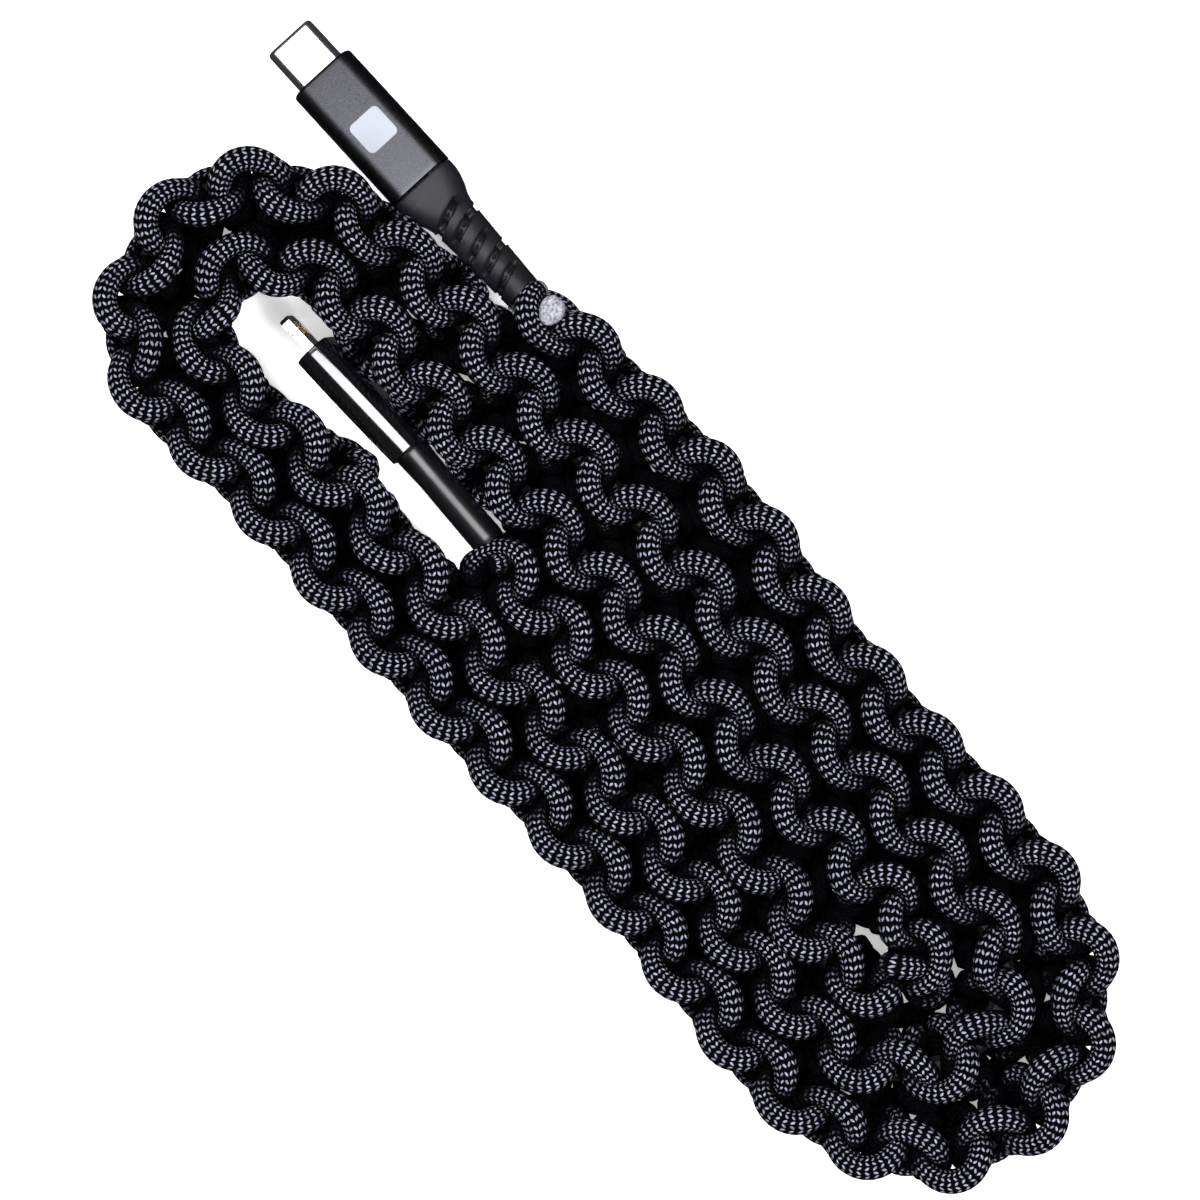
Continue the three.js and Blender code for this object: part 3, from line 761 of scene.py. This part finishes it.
def slot_cut(x, y, z):
    """How much of the skin's radius stays: the slots are open at one side, with a rim, and ribs inside."""
    radius = math.hypot(y, z)
    lean = math.radians(SLOT_LEAN)
    cut, rim = 0.0, 0.0
    shallow = 1.0 - 0.75 * smoothstep((abs(y) - 2.7) / 0.6)
    for i, station in enumerate(SLOT_STATIONS):
        side = -1 if i % 2 else 1
        along = side * (y * math.cos(lean) - (x - station) * math.sin(lean)) + SLOT_REACH
        over = (x - station) * math.cos(lean) + y * math.sin(lean)
        off = abs(over) if along > 0 else math.hypot(over, along)
        depth = 1.0 - smoothstep((off - SLOT_HALF_WIDTH) / 0.16)
        ridge = 0.5 * (1.0 - smoothstep((abs(over) - 0.08) / 0.12))
        rib = ridge * smoothstep((math.cos(along * SLOT_RIBS) - 0.1) / 0.3)
        cut = max(cut, depth * (1.0 - rib) * shallow)
        rim = max(rim, smoothstep((off - 0.6) / 0.1) * (1.0 - smoothstep((off - 0.76) / 0.2)))
    core = min(radius, SLOT_FLOOR)
    return (radius - (radius - core) * cut + SLOT_RIM * rim * (1 - cut)) / radius


def smoothstep(t):
    t = min(1.0, max(0.0, t))
    return t * t * (3 - 2 * t)


def make_type_c(looks):
    place = plug_frame(TYPE_C_NECK, TYPE_C_YAW, TYPE_C_PITCH)
    make_housing("type_c_housing_skin", "type_c_housing", place, 24.2, TYPE_C_HOUSING_END, (8.94, 3.16, 1.4),
                 (0.12, 0.55), looks["anodised_black"], "type_c_plug")
    # the slotted relief and its collar are one moulding
    shell = lofted("type_c_shell_skin", shell_stations(46.8, 55.65), place, looks["bright_steel"],
                   closed=True)
    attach(shell, "type_c_plug")
    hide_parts("type_c_shell")
    flex = relief_skin("type_c_relief_skin", TYPE_C_RELIEF, place, looks["relief"], slot_cut)
    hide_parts("type_c_relief_flex", "type_c_relief_collar")
    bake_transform(flex)


def make_slim(looks):
    place = plug_frame(SLIM_PLUG_START, SLIM_PLUG_YAW, SLIM_PITCH, SLIM_ROLL)
    make_housing("slim_housing_skin", "slim_housing", place, 18.6, SLIM_HOUSING_END, (7.3, 2.1, 0.8),
                 (0.1, 0.25), looks["black_gloss"], "slim_plug")
    neck = plug_frame(SLIM_NECK, SLIM_NECK_YAW, SLIM_PITCH)
    flex = relief_skin("slim_relief_skin", SLIM_RELIEF, neck, looks["satin_relief"], None, 0.3, 64)
    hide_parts("slim_relief_flex", "slim_relief_collar")
    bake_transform(flex)


def make_melted_ends(looks):
    """Where each strand was cut and melted: a lumpy pale bead with a few singed fibres standing from it."""
    rng = np.random.default_rng(7)
    for name, side in (("melted_end_upper", 1), ("melted_end_lower", -1)):
        work = bmesh.new()
        bmesh.ops.create_icosphere(work, subdivisions=5, radius=1.0)
        waves = rng.uniform(-1, 1, (10, 3)) * 5
        shifts = rng.uniform(0, 6.3, 10)
        for v in work.verts:
            n = np.array(v.co)
            lump = 1 + 0.035 * np.sin(waves @ n + shifts).sum() / 2
            v.co = Vector(n * BEAD) * lump
        for _ in range(SINGED_FIBRES):
            turn, lift = rng.uniform(0, 2 * np.pi), rng.uniform(0.1, 1.0)
            flat = math.sqrt(1 - lift * lift)
            out = Vector((math.cos(turn) * flat, math.sin(turn) * flat, lift))
            root = Vector(np.array(out) * (BEAD - 0.1))
            tip = root + out * rng.uniform(0.15, 0.45) + Vector(rng.uniform(-0.25, 0.25, 3))
            aside = out.orthogonal().normalized() * 0.055
            other = out.cross(aside)
            ring = [work.verts.new(root + aside * math.cos(a) + other * math.sin(a)) for a in (0, 2.1, 4.2)]
            end = work.verts.new(tip)
            work.faces.new(ring[::-1])
            for i in range(3):
                work.faces.new((ring[i], ring[(i + 1) % 3], end))
        turned = Matrix.Rotation(math.radians(20), 4, "Z") @ Matrix.Scale(side, 4, (0, 0, 1))
        place = Matrix.Translation((CORD_END[0], CORD_END[1], CABLE_Z + side * BEAD_HEIGHT)) @ turned
        work.transform(Matrix.Scale(MM, 4) @ place)
        bmesh.ops.recalc_face_normals(work, faces=work.faces)
        mesh = bpy.data.meshes.new(name)
        work.to_mesh(mesh)
        work.free()
        mesh.materials.append(looks["melted_cord"])
        mesh.polygons.foreach_set("use_smooth", [True] * len(mesh.polygons))
        piece = bpy.data.objects.new(name, mesh)
        bpy.context.collection.objects.link(piece)
        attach(piece, "woven_cable")
        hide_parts(name.replace("melted_end", "melted_cord_end"))


def finish_nodes(looks):
    """Gives every CAD node its slot's material."""
    for name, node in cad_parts.items():
        slot = NODE_SLOTS.get(name)
        if slot is None:
            slot = next((value for key, value in SLOT_ENDINGS.items() if name.endswith(key)), "black_plastic")
        look = looks[slot]
        for n in range(len(node.material_slots)):
            node.material_slots[n].material = look


def make_floor():
    bpy.ops.mesh.primitive_plane_add(size=3, location=(0, 0, 0))
    floor = bpy.context.object
    floor.name = "floor"
    floor.data.materials.append(floor_material())
    floor.visible_glossy = False
    floor.visible_diffuse = False


def area_light(name, place, target, size, power, colour=(1, 1, 1)):
    light = bpy.data.lights.new(name, "AREA")
    light.shape = "RECTANGLE"
    light.size, light.size_y = size
    light.energy = power
    light.color = colour
    lamp = bpy.data.objects.new(name, light)
    bpy.context.collection.objects.link(lamp)
    lamp.location = place
    lamp.rotation_euler = (Vector(target) - Vector(place)).to_track_quat("-Z", "Y").to_euler()
    return lamp


def make_lights():
    world = bpy.data.worlds.new("world")
    world.use_nodes = True
    world.node_tree.nodes["Background"].inputs[0].default_value = (1, 1, 1, 1)
    world.node_tree.nodes["Background"].inputs[1].default_value = 0.04
    bpy.context.scene.world = world
    bpy.context.scene.view_settings.view_transform = "Standard"
    # soft lights at 45 degrees and little from overhead, so that the gaps in the weave stay dark
    for name, place, size, power in (
            ("key_plugs", (0.95, 0.0, 0.95), (0.3, 0.3), 22),
            ("key_fold", (-0.95, 0.0, 0.95), (0.3, 0.3), 22),
            ("key_left", (0.0, 0.95, 0.95), (0.3, 0.3), 10),
            ("key_right", (0.0, -0.95, 0.95), (0.3, 0.3), 10),
            ("softbox", (0.0, 0.0, 1.4), (1.4, 0.42), 8)):
        lamp = area_light(name, place, (0, 0, 0), size, power)
        lamp.visible_glossy = False
    # two overhead cards that only gloss shows
    for name, place, size, power in (
            ("card_middle", (0.08, 0.0, 1.2), (0.38, 0.8), 10),
            ("card_plugs", (0.5, 0.0, 1.2), (0.34, 0.8), 2.2)):
        card = area_light(name, place, (place[0], place[1], 0), size, power)
        card.visible_diffuse = False


make_camera()
route = Route(ROUTE)
looks = make_materials()
make_weave(route, looks["melted_cord"])
make_type_c(looks)
make_slim(looks)
make_melted_ends(looks)
finish_nodes(looks)
make_floor()
make_lights()
